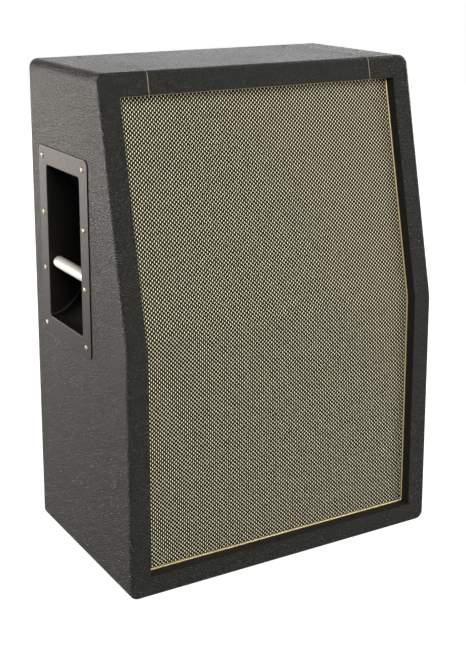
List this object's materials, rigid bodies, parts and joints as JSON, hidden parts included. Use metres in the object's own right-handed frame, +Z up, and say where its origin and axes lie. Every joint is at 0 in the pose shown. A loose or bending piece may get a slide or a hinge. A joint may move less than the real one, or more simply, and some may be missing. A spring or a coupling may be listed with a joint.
{
  "type": "guitar speaker cabinet",
  "caption": "Upright guitar speaker cabinet with a bent, backward-leaning upper front, recessed woven grille, recessed side handles and a closed rear panel.",
  "frame": {"origin": "on the floor under the middle of the cabinet's box, feet standing on z = 0", "axes": "+Z up, the grille faces -Y, +X to the right of someone looking along +Y"},
  "size_m": [0.5374, 0.327, 0.7645],
  "materials": {
    "black_vinyl": "embossed satin black vinyl",
    "gold_trim": "gold piping",
    "plywood": "birch plywood, unfinished inside",
    "pine": "planed softwood",
    "black_board": "black faced board",
    "woven_cloth": "two-colour woven cloth, cream and black",
    "black_steel": "satin black paint",
    "grip_metal": "satin",
    "brass_screw": "polished, slightly aged",
    "dark_screw": "blackened steel",
    "rubber": "matt black",
    "bare_steel": "zinc plated",
    "black_plastic": "moulded",
    "gasket_foam": "foam strip",
    "paper": "dark pressed paper",
    "treated_cloth": "resin-treated cloth",
    "copper_winding": "enamelled wire on a former",
    "ferrite": "ceramic ferrite"
  },
  "bodies": {
    "cabinet": {"baffle_joint_cleat": "pine", "baffle_screws": "dark_screw", "bottom_covering": "black_vinyl", "bottom_front_batten": "pine", "bottom_panel": "plywood", "foot_screws": "dark_screw", "grille_cloth": "woven_cloth", "grille_piping": "gold_trim", "jack_nut": "bare_steel", "jack_plate": "bare_steel", "jack_plate_screws": "dark_screw", "jack_socket": "black_plastic", "left_covering": "black_vinyl", "left_front_batten": "pine", "left_handle_dish": "black_steel", "left_handle_grip": "grip_metal", "left_handle_screws": "brass_screw", "left_panel": "plywood", "lower_back_plate": "bare_steel", "lower_baffle": "plywood", "lower_basket": "black_steel", "lower_front_plate": "bare_steel", "lower_gasket": "gasket_foam", "lower_magnet": "ferrite", "lower_speaker_screws": "dark_screw", "lower_spider": "treated_cloth", "lower_surround": "paper", "rear_battens": "pine", "rear_brace": "pine", "rear_panel": "black_board", "rear_panel_screws": "dark_screw", "right_covering": "black_vinyl", "right_front_batten": "pine", "right_handle_dish": "black_steel", "right_handle_grip": "grip_metal", "right_handle_screws": "brass_screw", "right_panel": "plywood", "rubber_feet": "rubber", "seam_strips": "gold_trim", "top_covering": "black_vinyl", "top_front_batten": "pine", "top_panel": "plywood", "upper_back_plate": "bare_steel", "upper_baffle": "plywood", "upper_basket": "black_steel", "upper_front_plate": "bare_steel", "upper_gasket": "gasket_foam", "upper_magnet": "ferrite", "upper_speaker_screws": "dark_screw", "upper_spider": "treated_cloth", "upper_surround": "paper"},
    "upper_cone_assembly": {"upper_cone": "paper", "upper_dust_cap": "paper", "upper_voice_coil": "copper_winding"},
    "lower_cone_assembly": {"lower_cone": "paper", "lower_dust_cap": "paper", "lower_voice_coil": "copper_winding"}
  },
  "joints": [
    {"name": "upper_cone_travel", "type": "slide", "parent": "cabinet", "child": "upper_cone_assembly", "axis": [0, -0.9787, 0.2052], "range_m": [-0.003, 0.003], "stiffness_N_per_m": 6500, "deforming": ["upper_surround", "upper_spider"]},
    {"name": "lower_cone_travel", "type": "slide", "parent": "cabinet", "child": "lower_cone_assembly", "axis": [0, -1, 0], "range_m": [-0.003, 0.003], "stiffness_N_per_m": 6500, "deforming": ["lower_surround", "lower_spider"]}
  ]
}
